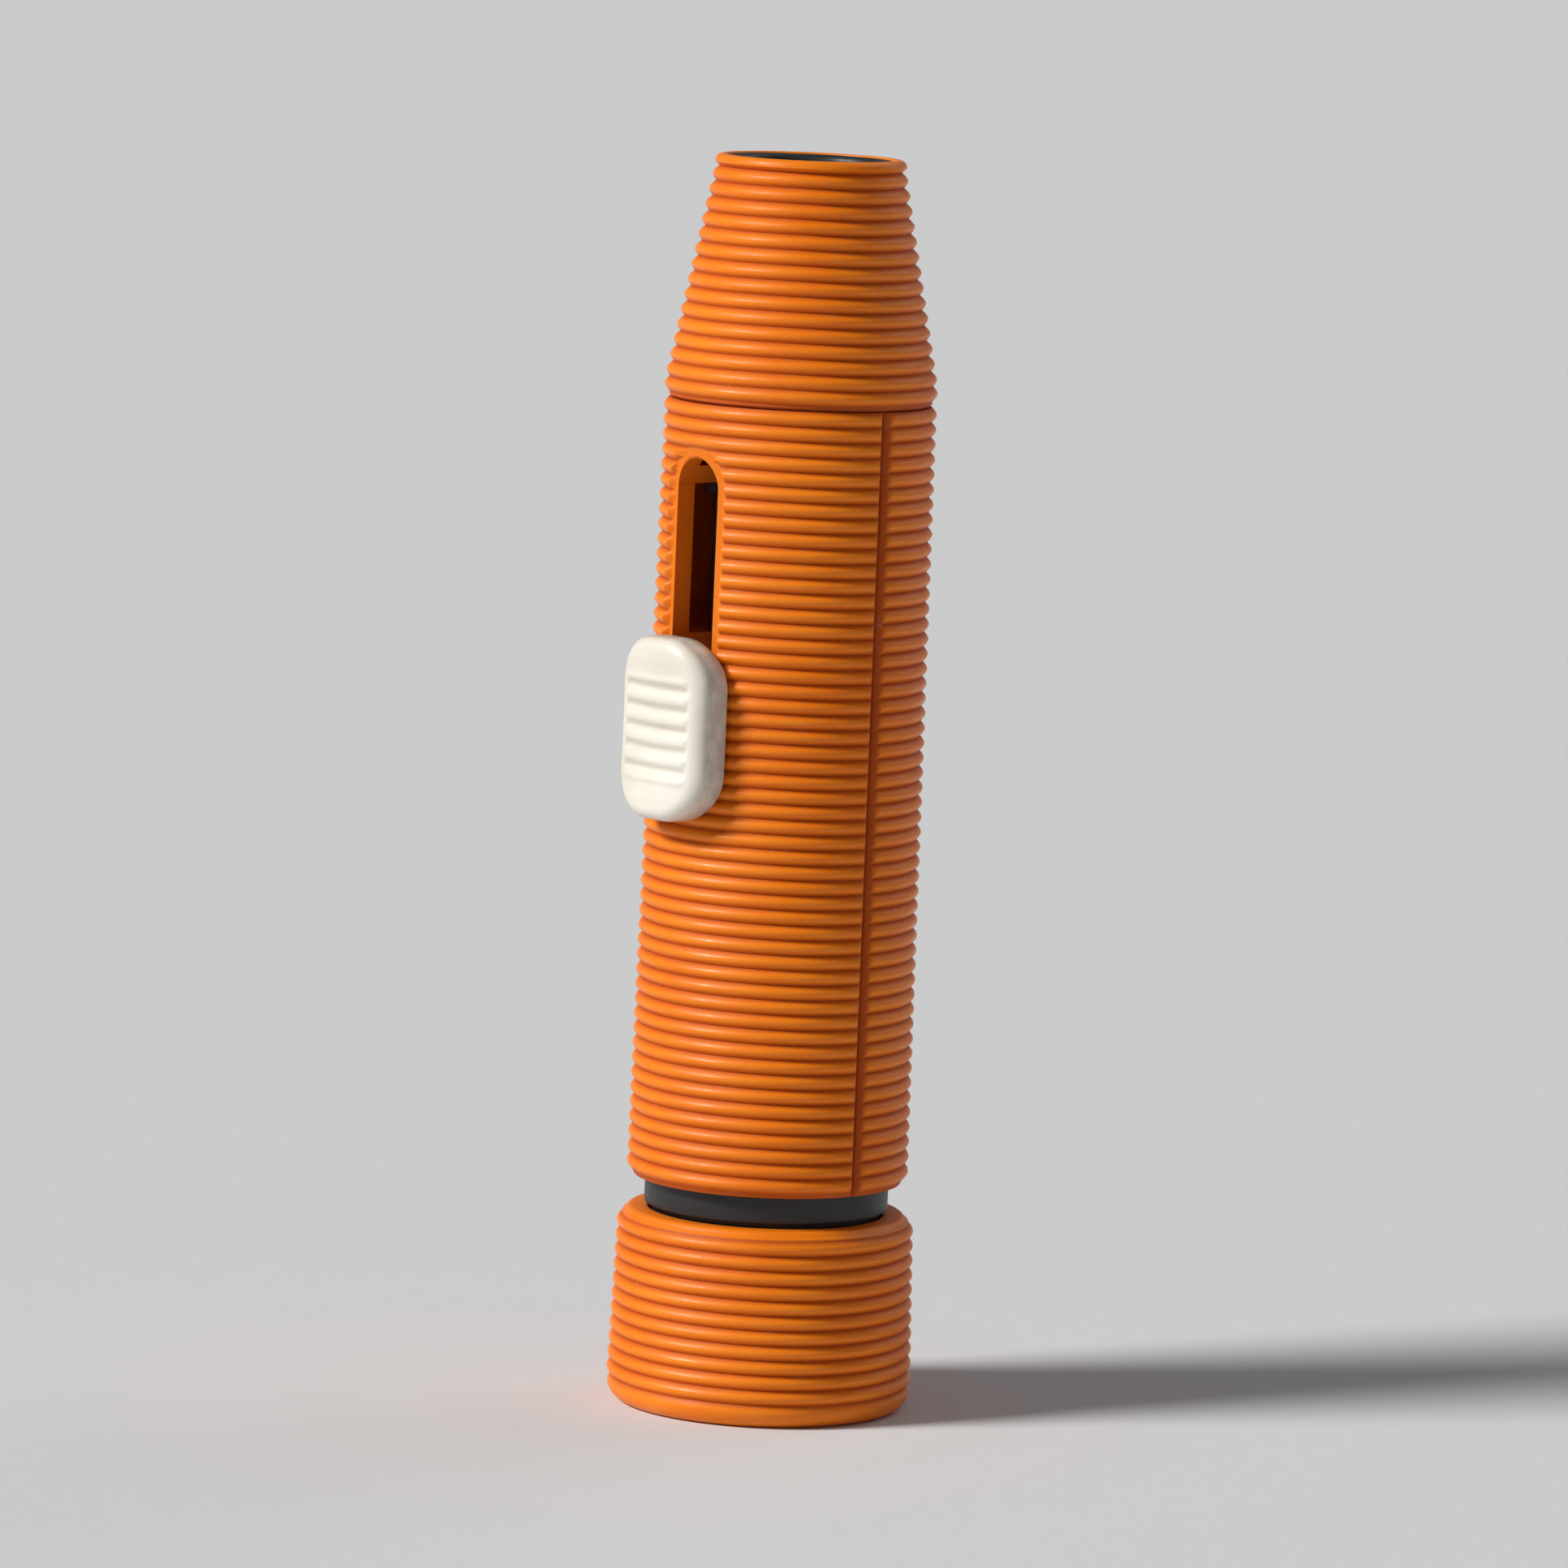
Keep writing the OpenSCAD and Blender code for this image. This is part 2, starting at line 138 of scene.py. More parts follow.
# Spacing of the shells' columns next to an edge: that many millimetres at that radius
EDGE_STEP, EDGE_STEP_R = 0.12, 9.0

GOLDEN_TURN = math.pi * (3 - math.sqrt(5))
ON_AXIS = 1e-6          # points of an outline with a smaller radius lie on the axis


# ---- Mesh helpers. Every array of points is in millimetres ----

def add_mesh(name, points, faces, attributes=None, sharp_deg=42):
    """A new smooth-shaded object from points in millimetres."""
    mesh = bpy.data.meshes.new(name)
    mesh.from_pydata([tuple(p) for p in np.asarray(points) * MM], [], faces)
    for key, values in (attributes or {}).items():
        layer = mesh.attributes.new(key, "FLOAT", "POINT")
        layer.data.foreach_set("value", np.asarray(values, np.float32).ravel())
    mesh.update()
    mesh.shade_smooth()
    mesh.set_sharp_from_angle(angle=math.radians(sharp_deg))
    piece = bpy.data.objects.new(name, mesh)
    bpy.context.scene.collection.objects.link(piece)
    return piece


def quads(rows, cols, start=0, close_cols=False, flip=False):
    """Faces of a grid of points stored row by row."""
    faces = []
    for i in range(rows - 1):
        for j in range(cols if close_cols else cols - 1):
            k = (j + 1) % cols
            a, b = start + i * cols + j, start + i * cols + k
            c, d = start + (i + 1) * cols + k, start + (i + 1) * cols + j
            faces.append((a, d, c, b) if flip else (a, b, c, d))
    return faces


def revolve(name, profile, steps=128, groove=None, sharp_deg=42):
    """A solid of revolution about Z, from a list of (radius, height): from pole to pole, or a closed loop."""
    profile = np.asarray(profile, float)
    looped = profile[0][0] > ON_AXIS
    turn = np.arange(steps) * 2 * math.pi / steps
    points, shade, start = [], [], []
    groove = np.zeros(len(profile)) if groove is None else np.asarray(groove, float)
    for (r, z), g in zip(profile, groove):
        start.append(len(points))
        if r < ON_AXIS:
            points.append((0, 0, z))
            shade.append(g)
        else:
            points += [(r * math.cos(a), r * math.sin(a), z) for a in turn]
            shade += [g] * steps
    faces = []
    count = len(profile)
    for i in range(count if looped else count - 1):
        a, b = start[i], start[(i + 1) % count]
        pole_a, pole_b = profile[i][0] < ON_AXIS, profile[(i + 1) % count][0] < ON_AXIS
        for j in range(steps):
            k = (j + 1) % steps
            if pole_a:
                faces.append((a, b + k, b + j))
            elif pole_b:
                faces.append((a + j, a + k, b))
            else:
                faces.append((a + j, a + k, b + k, b + j))
    return add_mesh(name, points, faces, {"groove": shade}, sharp_deg)


def arc(cr, cz, radius, a0, a1, count=6):
    """Points of an arc in the (radius, height) plane. Angles are in degrees."""
    angles = np.radians(np.linspace(a0, a1, count + 1))
    return [(cr + radius * math.cos(a), cz + radius * math.sin(a)) for a in angles]


def soften(corners, radius, closed=True):
    """Rounds the corners of an outline in the (radius, height) plane. Points on the axis stay sharp."""
    corners = [np.array(c, float) for c in corners]
    count = len(corners)
    most = 0.42     # of a side, that one rounded corner may take
    points = []
    for i, c in enumerate(corners):
        if c[0] < ON_AXIS or (not closed and i in (0, count - 1)):
            points.append(tuple(c))
            continue
        back, ahead = corners[i - 1] - c, corners[(i + 1) % count] - c
        cut = min(radius, most * np.linalg.norm(back), most * np.linalg.norm(ahead))
        start = c + back / np.linalg.norm(back) * cut
        end = c + ahead / np.linalg.norm(ahead) * cut
        for t in (0, 0.25, 0.5, 0.75, 1):
            points.append(tuple(start * (1 - t) ** 2 + c * 2 * t * (1 - t) + end * t ** 2))
    return points


def turned(name, corners, radius=0.12, steps=128, sharp_deg=50):
    """A turned or moulded round piece whose edges are slightly rounded."""
    return revolve(name, soften(corners, radius, corners[0][0] > ON_AXIS), steps, sharp_deg=sharp_deg)


def rib_drop(z, z0, z1):
    """How deep a ribbed wall is at height z: 1 in the valleys and 0 on the crests."""
    count = round((z1 - z0) / RIB_PITCH)
    phase = ((z - z0) / (z1 - z0) * count) % 1.0
    return 1 - np.abs(np.sin(math.pi * phase)) ** RIB_ROUND


def rib_rows(z0, z1):
    """Heights that follow the ribs from z0 to z1, with a row in every valley."""
    count = round((z1 - z0) / RIB_PITCH)
    return np.linspace(z0, z1, count * ROWS_PER_RIB + 1)


def ribbed(z0, z1, r0, r1):
    """Outline of a ribbed wall, with the depth of each of its points."""
    z = rib_rows(z0, z1)
    drop = rib_drop(z, z0, z1)
    r = r0 + (r1 - r0) * (z - z0) / (z1 - z0) - RIB_DEPTH * drop
    return list(zip(r, z)), list(drop)


# ---- Barrel shells ----

# Stretches of the shells' inside that aren't the plain bore: lowest and highest point, and radius
SHELL_STEPS = [(low, high, WEB_R) for low, high in WEBS] + [
    (low - FLANGE_PLAY, high + FLANGE_PLAY, FLANGE_R + FLANGE_PLAY)
    for low, high in (NOSE_FLANGE, SHROUD_FLANGE)]


def shell_rows():
    """Heights of the shells' rows: along the ribs, close at the slot's ends, in pairs at each step inside."""
    near_end = 0.03 * np.arange(7) ** 2
    rows = [rib_rows(RIBS_Z0, SHELL_Z1), [SHELL_Z0], SLOT_Z0 + near_end, SLOT_Z1 - near_end]
    rows = np.concatenate(rows)
    steps = np.array([z for low, high, _ in SHELL_STEPS for z in (low, high)])
    half_pair, room, least = 0.01, 0.03, 0.012
    clear = np.abs(rows[:, None] - steps[None, :]).min(axis=1) > room
    rows = np.sort(np.concatenate([rows[clear], steps - half_pair, steps + half_pair]))
    keep = np.concatenate([[True], np.diff(rows) > least])
    return rows[keep]


def shell_inside(z):
    """Radius of the shells' inside at height z, with its webs and grooves."""
    r = np.full_like(z, SHELL_BORE_R)
    for low, high, step_r in SHELL_STEPS:
        r[(z > low) & (z < high)] = step_r
    return r


def slot_half(z):
    """Half the slot's width at height z."""
    r = SLOT_W / 2
    beyond = np.maximum(0, np.maximum(SLOT_Z0 + r - z, z - (SLOT_Z1 - r)))
    return np.sqrt(np.maximum(0, r * r - np.minimum(beyond, r) ** 2))


def slot_gap(across, z):
    """Distance from the slot's outline, for points outside the slot."""
    r = SLOT_W / 2
    beyond = np.maximum(0, np.maximum(SLOT_Z0 + r - z, z - (SLOT_Z1 - r)))
    return np.hypot(across, beyond) - r


def smooth(low, high, x):
    """Rises smoothly from 0 to 1 as x goes from low to high."""
    t = np.clip((x - low) / (high - low), 0, 1)
    return t * t * (3 - 2 * t)


def shell_radius(z):
    """Radius of the shells over their crests at height z."""
    return SHELL_LOW_R + (SHELL_TOP_R - SHELL_LOW_R) * ((z - SHELL_Z0) / (SHELL_Z1 - SHELL_Z0))


def shell_wall(z, angle, with_slot):
    """Radius and groove value of the shells' outside, at height z and at an angle from -Y, in radians; the
    groove value also sets painted shade.
    """
    base = shell_radius(z)
    drop = rib_drop(z, RIBS_Z0, SHELL_Z1)
    # painted shade on the short smooth band below the ribs
    drop = np.where(z < RIBS_Z0, 1.0, drop)
    r = base - RIB_DEPTH * drop
    end_bevel = 0.15
    r = np.where(z < SHELL_Z0 + 0.01, r - end_bevel, r)
    if with_slot:
        gap = slot_gap(base * np.abs(angle), z)
        ribs_on = smooth(SLOT_LAND - 0.08, SLOT_LAND + 0.1, gap)
        edge = SLOT_EDGE * np.clip(1 - gap / 0.14, 0, 1) ** 2
        r = LAND_R - edge + (r - LAND_R + edge) * ribs_on
        # painted shade on the land round the slot, strongest at its edge
        drop = np.maximum(drop * ribs_on, 0.45 * (1 - smooth(0.5, 1.3, gap)))
    to_joint = np.abs(base * (math.pi / 2 - np.abs(angle)))
    cut = JOINT_DEPTH * np.clip(1 - to_joint / JOINT_HALF, 0, 1)
    r = np.minimum(r, base - cut)
    # painted shade along the joint's groove
    drop = np.maximum(drop, np.clip(cut / 0.3, 0, 1))
    return r, drop


def wall_points(r, angle, z):
    """Points at a radius, an angle from -Y and a height."""
    return np.stack([r * np.sin(angle), -r * np.cos(angle), z], axis=-1)


def column_angles(first, last, near_first, near_last, between):
    """Angles of a wall's columns, one row of angles for each height. Columns are close at both edges."""
    a0 = first[:, None] + (np.arange(near_first) * EDGE_STEP / EDGE_STEP_R)[None, :]
    a1 = last[:, None] - (np.arange(near_last)[::-1] * EDGE_STEP / EDGE_STEP_R)[None, :]
    t = np.linspace(0, 1, between + 2)[1:-1]
    middle = a0[:, -1:] + (a1[:, :1] - a0[:, -1:]) * t[None, :]
    return np.concatenate([a0, middle, a1], axis=1)


def closed_patch(outer, inner, groove):
    """Points and faces of a solid wall between two grids of points of the same shape."""
    rows, cols = outer.shape[:2]
    points = np.concatenate([outer.reshape(-1, 3), inner.reshape(-1, 3)])
    shade = np.concatenate([groove.ravel(), np.zeros(rows * cols)])
    base = rows * cols
    faces = quads(rows, cols) + quads(rows, cols, base, flip=True)
    for i in range(rows - 1):
        a, b = i * cols, (i + 1) * cols
        faces.append((a, b, base + b, base + a))
        a, b = a + cols - 1, b + cols - 1
        faces.append((b, a, base + a, base + b))
    for j in range(cols - 1):
        faces.append((j + 1, j, base + j, base + j + 1))
        k = (rows - 1) * cols + j
        faces.append((k, k + 1, base + k + 1, base + k))
    return points, shade, faces


def merge(name, parts, attribute="groove", weld=True):
    """One object from several lists of points, shades and faces.

    Welding makes points that touch one, and drops the two faces wherever two walls meet.
    """
    points = np.concatenate([p for p, _, _ in parts])
    shade = np.concatenate([s for _, s, _ in parts])
    faces, offset = [], 0
    for p, _, fs in parts:
        faces += [tuple(offset + v for v in f) for f in fs]
        offset += len(p)
    if weld:
        key = np.round(points, 5)
        _, first, back = np.unique(key, axis=0, return_index=True, return_inverse=True)
        back = back.ravel()
        points, shade = points[first], shade[first]
        welded = []
        for f in faces:
            g = []
            for v in (int(back[i]) for i in f):
                if v not in g:
                    g.append(v)
            if len(g) > 2:
                welded.append(tuple(g))
        seen, faces = {}, []
        for f in welded:
            seen.setdefault(tuple(sorted(f)), []).append(f)
        faces = [fs[0] for fs in seen.values() if len(fs) == 1]
    return add_mesh(name, points, faces, {attribute: shade})


def barrel_front():
    """The half with the slot: a wall on each side of it, welded above and below it."""
    z = shell_rows()
    half = slot_half(z)
    quarter = np.full(len(z), math.pi / 2)
    edge_out = np.arcsin(half / (LAND_R - SLOT_EDGE))
    inside = shell_inside(z)
    edge_in = np.arcsin(half / inside)
    parts = []
    for side in (1, -1):
        a_out = column_angles(edge_out, quarter, 10, 8, 22)
        a_in = column_angles(edge_in, quarter, 10, 8, 22)
        zz = np.repeat(z[:, None], a_out.shape[1], axis=1)
        r, drop = shell_wall(zz, a_out, True)
        outer = wall_points(r, side * a_out, zz)
        inner = wall_points(np.repeat(inside[:, None], a_in.shape[1], axis=1), side * a_in, zz)
        if side < 0:
            outer, inner, drop = outer[:, ::-1], inner[:, ::-1], drop[:, ::-1]
        parts.append(closed_patch(outer, inner, drop))
    return merge("barrel_front", parts)


def barrel_back():
    """The plain half."""
    z = shell_rows()
    first = np.full(len(z), math.pi / 2)
    angles = column_angles(first, first + math.pi, 8, 8, 56)
    zz = np.repeat(z[:, None], angles.shape[1], axis=1)
    r, drop = shell_wall(zz, np.where(angles > math.pi, 2 * math.pi - angles, angles), False)
    outer = wall_points(r, angles, zz)
    inner = wall_points(np.repeat(shell_inside(z)[:, None], angles.shape[1], axis=1), angles, zz)
    return merge("barrel_back", [closed_patch(outer, inner, drop)])


def shroud():
    """The tapered end: a ribbed skirt, a rolled mouth, a seat for the bush and a flanged spigot."""
    seam, lip_r, mouth_edge_r = 0.2, 0.5, 0.15
    z0, top = SHELL_Z1 + seam, PEN_TOP
    spigot_z0 = SHROUD_LOW.z
    straight, d0 = ribbed(z0 + 0.2, z0 + 1.2, SHELL_TOP_R, SHELL_TOP_R)
    taper, d1 = ribbed(z0 + 1.2, top - 0.8, SHELL_TOP_R, END_R)
    lip = arc(END_R - lip_r, top - lip_r, lip_r, 0, 90, 6)
    lip += arc(BUSH_R + 0.2, top - mouth_edge_r, mouth_edge_r, 90, 180, 3)
    seat_z, bore_r, spigot_bore_r = top - 1.75, MOUTH_R + 0.4, 6.0
    inside = [(BUSH_R + 0.05, seat_z), (bore_r, seat_z), (bore_r, top - 6),
              (spigot_bore_r, SHELL_Z1 + 3), (spigot_bore_r, spigot_z0)]
    flange0, flange1 = SHROUD_FLANGE
    spigot = [(SPIGOT_R, spigot_z0), (SPIGOT_R, flange0), (FLANGE_R, flange0),
              (FLANGE_R, flange1), (SPIGOT_R, flange1)]
    # a ledge in the seam, so that no light shows through it
    ledge_r = SHELL_TOP_R - RIB_DEPTH - 0.25
    start = [(SPIGOT_R, SHELL_Z1 + 0.04), (ledge_r - 0.04, SHELL_Z1 + 0.04), (ledge_r, SHELL_Z1 + 0.08),
             (ledge_r, z0), (SHELL_TOP_R - RIB_DEPTH, z0)]
    profile = start + straight[:-1] + taper + lip + inside + spigot
    # painted shade: full on the ledge in the seam, partial on the inside
    groove = [1] * len(start) + d0[:-1] + d1 + [0] * len(lip) + [0.6] * len(inside) + [0] * len(spigot)
    return revolve("shroud", profile, 160, groove)


def cap_outer():
    """The cap's shell, with a moulded recess and a gate mark under it, and a lip over the grip ring."""
    top = CAP_HIGH.z
    low_r, top_r = CAP_HIGH.x, CAP_HIGH.x - 0.3
    foot, bore_r, lip_r = 1.2, 8.6, 7.9
    recess = 0.4
    base = [(0, 0.1), (0.7, 0.12), (1.0, recess), (6.0, recess), (6.35, 0.08), (6.55, 0)]
    corner = arc(low_r - foot - 0.1, foot, foot, -90, 0, 10)
    side, drop = ribbed(foot + 0.4, top - 0.6, low_r, top_r)
    lip = [(top_r - RIB_DEPTH - 0.02, top - 0.45)] + arc(top_r - 1.0, top - 0.45, 0.45, 20, 90, 5)
    mouth = arc(8.1, top - 0.2, 0.2, 90, 180, 4)
    inside = [(lip_r, top - 0.65), (bore_r, top - 0.65), (bore_r, foot), (0, foot)]
    profile = base + corner + side + lip + mouth + inside
    # painted shade: slight on the lip and mouth, more on the inside
    groove = [0] * len(base + corner) + drop + [0.2] * len(lip + mouth) + [0.6] * len(inside)
    return revolve("cap_outer", profile, 160, groove)


def nose():
    """The black plug of the barrel: a ring that shows in the seam, and a socket for the tip's stem."""
    z0, top, ring_r = NOSE_LOW.z, NOSE_HIGH.z, NOSE_HIGH.x
    ring_z0, ring_z1 = CAP_HIGH.z + 0.3, SHELL_Z0 - 0.05
    flange0, flange1 = NOSE_FLANGE
    nose_r, hollow_r, socket_r, hole_r = 7.65, 5.95, 4.5, 3.02
    return turned("nose_plug", [
        (hole_r, z0), (nose_r - 0.5, z0), (nose_r, z0 + 0.5), (nose_r, ring_z0), (ring_r, ring_z0),
        (ring_r, ring_z1), (SPIGOT_R, ring_z1), (SPIGOT_R, flange0), (FLANGE_R, flange0),
        (FLANGE_R, flange1), (SPIGOT_R, flange1), (SPIGOT_R, top), (hollow_r, top), (hollow_r, z0 + 1.8),
        (socket_r, z0 + 1.8), (socket_r, top - 1), (hole_r, top - 1)], 0.14, 144)


def neck():
    """Rubber neck of the tip, waisted so that it bends in the middle."""
    low, high = span("tip_neck")
    z0, z1 = low.z, NOSE_LOW.z - 0.05
    end_r, waist_depth, face_r, plug_r = 3.5, 1.2, 3.35, 1.4
    waist = [(end_r - waist_depth * math.sin(math.pi * t), z0 + (z1 - z0) * t)
             for t in np.linspace(0.03, 0.97, 21)]
    plug = [(face_r, z1), (plug_r, z1), (plug_r, high.z - 0.1), (plug_r - 0.1, high.z), (0, high.z)]
    return revolve("neck", [(0, z0), (face_r, z0)] + waist + plug, 96)


def holder():
    """Disc that carries the tip's foam and pad."""
    low, high = span("tip_holder")
    z0, r = low.z, high.x
    return turned("holder", [
        (0, z0), (r - 0.2, z0), (r, z0 + 0.2), (r, z0 + 0.6), (r - 0.3, z0 + 0.75),
        (3.8, high.z - 0.25), (3.6, high.z), (0, high.z)], 0.1)


def bush():
    """Wear ring in the mouth, with a round inner lip."""
    low, high = span("mouth_bush")
    lip = arc(MOUTH_R + 0.5, high.z - 0.45, 0.45, 90, 180, 8)
    outer = [(MOUTH_R, low.z), (BUSH_R - 0.08, low.z), (BUSH_R, low.z + 0.08), (BUSH_R, high.z - 0.1),
             (BUSH_R - 0.1, high.z)]
    return revolve("bush", outer + lip, 128)


def liner():
    """Cup inside the cap, which holds the felt and guides the nose."""
    low, high = span("cap_liner")
    z0, z1, r = low.z, high.z, high.x
    guide_r, cup_r, floor_z = 7.75, 6.75, z0 + 0.5
    return turned("liner", [
        (0, z0), (r, z0), (r, z1), (guide_r, z1), (guide_r, NOSE_LOW.z - 0.8),
        (cup_r, NOSE_LOW.z - 1.6), (cup_r, floor_z), (0, floor_z)], 0.15, 144)


def grip_ring():
    """Rubber ring that holds the cap on the nose."""
    low, high = span("cap_ring")
    z0, z1, r = low.z, high.z, high.x
    inner_r, bevel_r, bevel = 7.7, 7.95, 0.25
    return turned("grip_ring", [
        (inner_r, z0 + bevel), (bevel_r, z0), (r, z0), (r, z1), (bevel_r, z1),
        (inner_r, z1 - bevel)], 0.15, 128)


# ---- Button ----

def rounded_outline(half_w, half_h, corner, turns):
    """Points round a rectangle with round corners, at the given angles from its middle."""
    points = []
    for a in turns:
        c, s = math.cos(a), math.sin(a)
        low, high = 0.0, half_w + half_h
        for _ in range(40):
            mid = (low + high) / 2
            x, y = abs(mid * c) - half_w + corner, abs(mid * s) - half_h + corner
            inside = math.hypot(max(x, 0), max(y, 0)) + min(max(x, y), 0) < corner
            low, high = (mid, high) if inside else (low, mid)
        points.append((low * c, low * s))
    return np.array(points)


def inside_depth(u, v, half_w, half_h, corner):
    """How far a point is inside a rectangle with round corners."""
    x, y = np.abs(u) - half_w + corner, np.abs(v) - half_h + corner
    return corner - np.hypot(np.maximum(x, 0), np.maximum(y, 0)) - np.minimum(np.maximum(x, y), 0)


def button():
    """The thumb button, from the middle of its face, over its edge, to the end of its stem."""
    turns = np.linspace(0, 2 * math.pi, 193)[:-1]
    half_w, half_h = BUTTON_W / 2, BUTTON_H / 2
    edge = rounded_outline(half_w, half_h, BUTTON_ROUND, turns)
    stem = rounded_outline(STEM_W / 2, STEM_H / 2, STEM_W / 2 - 0.01, turns)
    fillet, dish_depth = 0.9, 0.35
    under_r = SHELL_LOW_R - 0.1
    stem_y = -3.4
    grip_pitch, grip_depth = 1.35, 0.34
    dish_h, dish_w = 4.6, 4.2
    rings = []
    # the face's rings are even at first, and closer and closer over the last stretch to its edge
    stretch, power = 0.3, 1.35
    even = np.linspace(0.02, 1 - stretch, 34)
    closing = 1 - (1 - np.linspace(1 - stretch, 1, 26)[1:]) ** power * stretch / stretch ** power
    for t in np.concatenate([even, closing]):
        u, v = edge[:, 0] * t, edge[:, 1] * t
        depth = np.clip(inside_depth(u, v, half_w, half_h, BUTTON_ROUND), 0, fillet)
        drop = fillet - np.sqrt(np.maximum(0, fillet ** 2 - (fillet - depth) ** 2))
        dish = dish_depth * np.clip(1 - (v / dish_h) ** 2, 0, 1) * np.clip(1 - (u / dish_w) ** 2, 0, 1)
        on = smooth(3.3, 2.9, np.abs(u)) * smooth(2.75 * grip_pitch, 2.45 * grip_pitch, np.abs(v))
        wave = 0.5 + 0.5 * np.cos(2 * math.pi * v / grip_pitch)
        y = -np.sqrt(BUTTON_FACE_R ** 2 - u ** 2) + drop + dish + grip_depth * on * (wave ** 1.5 - 0.35)
        rings.append(np.stack([u, np.maximum(y, -BUTTON_FACE_R), BUTTON_Z + v], axis=1))
    u, v = edge[:, 0], edge[:, 1]
    low = -np.sqrt(under_r ** 2 - u ** 2)
    top_y = rings[-1][:, 1]
    for t in (0.35, 0.8):
        rings.append(np.stack([u, top_y + (low - top_y) * t, BUTTON_Z + v], axis=1))
    inset = 0.03
    for t in (0.0, 0.5, 1.0):
        p = stem + (edge * (1 - inset * (1 - t) - inset) - stem) * (1 - t)
        y = -np.sqrt(under_r ** 2 - p[:, 0] ** 2)
        rings.append(np.stack([p[:, 0], y, BUTTON_Z + p[:, 1]], axis=1))
    for y in (-7.0, -5.0, stem_y):
        rings.append(np.stack([stem[:, 0], np.full(len(turns), y), BUTTON_Z + stem[:, 1]], axis=1))
    cols = len(turns)
    poles = [[[0, rings[0][0][1], BUTTON_Z]], [[0, stem_y, BUTTON_Z]]]
    points = np.concatenate(rings + poles)
    faces = quads(len(rings), cols, close_cols=True, flip=True)
    first, last = len(points) - 2, (len(rings) - 1) * cols
    faces += [(first, j, (j + 1) % cols) for j in range(cols)]
    faces += [(first + 1, last + (j + 1) % cols, last + j) for j in range(cols)]
    radial = np.hypot(points[:, 0], points[:, 1])
    groove = np.clip((BUTTON_FACE_R - 0.35 - radial) / 0.4, 0, 1)
    return add_mesh("button", points, faces, {"groove": groove}, 60)


# ---- Brush ----

def hair(root, tip, bend, thick, sides=3, steps=5):
    """A tapered hair that leaves its root upright and bends towards its tip."""
    root, tip, bend = (np.asarray(v, float) for v in (root, tip, bend))
    swelled_at, taper = 0.7, 0.72
    points = []
    turns = np.arange(sides) * 2 * math.pi / sides
    for i in range(steps + 1):
        t = i / steps
        swell = math.sin(math.pi / 2 * min(1, t / swelled_at))
        centre = np.array([root[0] + (tip[0] - root[0]) * swell, root[1] + (tip[1] - root[1]) * swell,
                           root[2] + (tip[2] - root[2]) * t]) + bend * t * t * (1.6 - t)
        r = thick * (1 - taper * t ** 2)
        points += [(centre[0] + r * math.cos(a), centre[1] + r * math.sin(a), centre[2]) for a in turns]
    faces = quads(steps + 1, sides, close_cols=True)
    faces += [tuple(range(sides))[::-1], tuple(range(steps * sides, (steps + 1) * sides))]
    shade = np.repeat(np.linspace(0, 1, steps + 1), sides)
    return np.array(points), shade, faces


def bristles():
    """The bundle of hair, with a round top."""
    rng = random.Random(11)
    count, clump_count = 3300, 70
    flat, dome = 0.62, 0.38     # shares of the length that are even and that make the round top
    root_r = 2.78
    belly_r = TUFT_HIGH.x - 0.18
    z0 = FERRULE_HIGH.z - 0.8
    length = TUFT_HIGH.z - FERRULE_HIGH.z
    clumps = [(rng.uniform(0, 2 * math.pi), rng.uniform(0.1, 1)) for _ in range(clump_count)]
    parts = []
    for i in range(count):
        share = math.sqrt((i + 0.5) / count)
        a = i * GOLDEN_TURN + rng.uniform(-0.1, 0.1)
        top = FERRULE_HIGH.z + length * (flat + dome * math.sqrt(max(0, 1 - share ** 2)))
        top -= abs(rng.gauss(0, 0.28))
        clump_a, clump_f = clumps[rng.randrange(len(clumps))]
        near = math.exp(-(((clump_f - share) / 0.25) ** 2))
        turn = math.sin(clump_a - a) * near * 0.06
        ra, rf = a + turn + rng.gauss(0, 0.03), share * (1 + rng.gauss(0, 0.02))
        root = (share * root_r * math.cos(a), share * root_r * math.sin(a), z0)
        tip = (rf * belly_r * math.cos(ra), rf * belly_r * math.sin(ra), top)
        bend = (rng.gauss(0, 0.1), rng.gauss(0, 0.1), 0)
        parts.append(hair(root, tip, bend, rng.uniform(0.030, 0.044)))
    return merge("bristles", parts, "along", weld=False)


def ferrule():
    """Thin tube with two rolled crimps and a rolled mouth."""
    z0, z1, r, wall = FERRULE_LOW.z, FERRULE_HIGH.z, FERRULE_HIGH.x, 0.3
    crimp_depth, crimp_half = 0.07, 0.34
    outside = [(r - 0.12, z0), (r, z0 + 0.15)]
    for middle in (z1 - 3.6, z1 - 2.2):
        for t in np.linspace(-1, 1, 9):
            outside.append((r - crimp_depth * (1 + math.cos(math.pi * t)), middle + crimp_half * t))
    outside += arc(r - 0.15, z1 - 0.15, 0.15, 0, 180, 8)
    return revolve("ferrule", outside + [(r - wall, z0)], 96)


# ---- Cleaning tip and the pads in the cap ----

def fibres(roots, face, rng, length):
    """Short hairs that stand on a flat surface and lean at random, each with its root sunk into it."""
    sunk, thick = 0.05, 0.013
    parts = []
    for p in roots:
        a, lean = rng.uniform(0, 2 * math.pi), rng.uniform(0.3, 1.6)
        way = np.array([math.cos(a) * lean, math.sin(a) * lean, face])
        way = way / np.linalg.norm(way) * length * rng.uniform(0.5, 1)
        start = p - np.array([0, 0, face * sunk])
        points, shade, faces = hair(start, start + way, (0, 0, 0), thick, 3, 2)
        if face < 0:
            faces = [f[::-1] for f in faces]
        parts.append((points, shade, faces))
    return parts


def disc_spots(radius, count):
    """Points spread evenly over a disc."""
    r = radius * np.sqrt((np.arange(count) + 0.5) / count)
    a = np.arange(count) * GOLDEN_TURN
    return np.stack([r * np.cos(a), r * np.sin(a)], axis=1)


